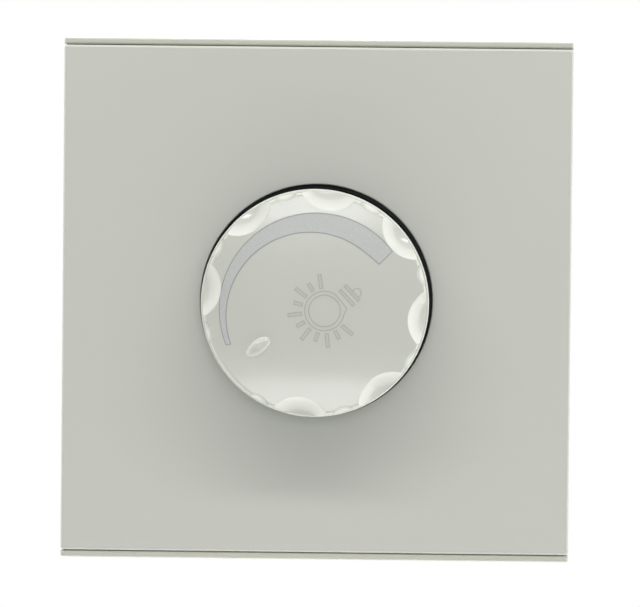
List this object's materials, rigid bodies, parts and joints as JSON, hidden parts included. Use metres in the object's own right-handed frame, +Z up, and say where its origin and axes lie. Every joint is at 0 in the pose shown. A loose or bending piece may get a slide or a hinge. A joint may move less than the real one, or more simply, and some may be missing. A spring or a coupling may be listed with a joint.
{
  "type": "rotary dimmer switch",
  "caption": "Flush wall dimmer: light-grey clip-on panel on a mounting frame, a scalloped rotary knob in a round hole, and a black rear housing with wiring terminals.",
  "frame": {"origin": "on the knob's axis, in the plane of the wall: the middle of the two wall box screws", "axes": "+Z up, +X to the right seen from the front, +Y into the wall, so the front faces -Y"},
  "size_m": [0.086, 0.0511, 0.088],
  "materials": {
    "plate_plastic": "gloss",
    "knob_plastic": "gloss",
    "black_plastic": "satin",
    "housing_plastic": "matte",
    "plated_steel": "satin",
    "zinc_casting": "satin",
    "brass": "satin",
    "aluminium": "satin",
    "board_laminate": "satin",
    "phenolic": "matte",
    "package_black": "matte",
    "capacitor_yellow": "gloss",
    "capacitor_red": "gloss",
    "ferrite": "matte",
    "copper_wire": "gloss",
    "resistor_coat": "gloss",
    "diac_glass": "gloss",
    "fuse_glass": "gloss",
    "terminal_plastic": "satin"
  },
  "bodies": {
    "base": {"front_panel": "plate_plastic", "mounting_frame": "plate_plastic", "pot_washer": "plated_steel", "pot_nut": "brass", "pot_bushing": "zinc_casting", "pot_can": "plated_steel", "pot_wafer": "phenolic", "pot_pins": "brass", "rear_housing": "housing_plastic", "housing_screws": "plated_steel", "circuit_board": "board_laminate", "filter_capacitor": "capacitor_yellow", "timing_capacitor": "capacitor_red", "choke_core": "ferrite", "choke_winding": "copper_wire", "triac": "package_black", "heat_sink": "aluminium", "triac_screw": "plated_steel", "triac_nut": "plated_steel", "diac": "diac_glass", "resistors": "resistor_coat", "fuse": "fuse_glass", "fuse_clips": "brass", "terminal_block": "terminal_plastic", "terminal_cages": "brass", "terminal_screws": "plated_steel"},
    "knob": {"knob_cap": "knob_plastic", "knob_body": "black_plastic", "pot_shaft": "aluminium", "pot_rotor": "phenolic", "pot_wiper": "brass"}
  },
  "joints": [
    {"name": "knob_turn", "type": "hinge", "parent": "base", "child": "knob", "pos_m": [0, 0, 0], "axis": [0, 1, 0], "range_deg": [0, 270]}
  ]
}
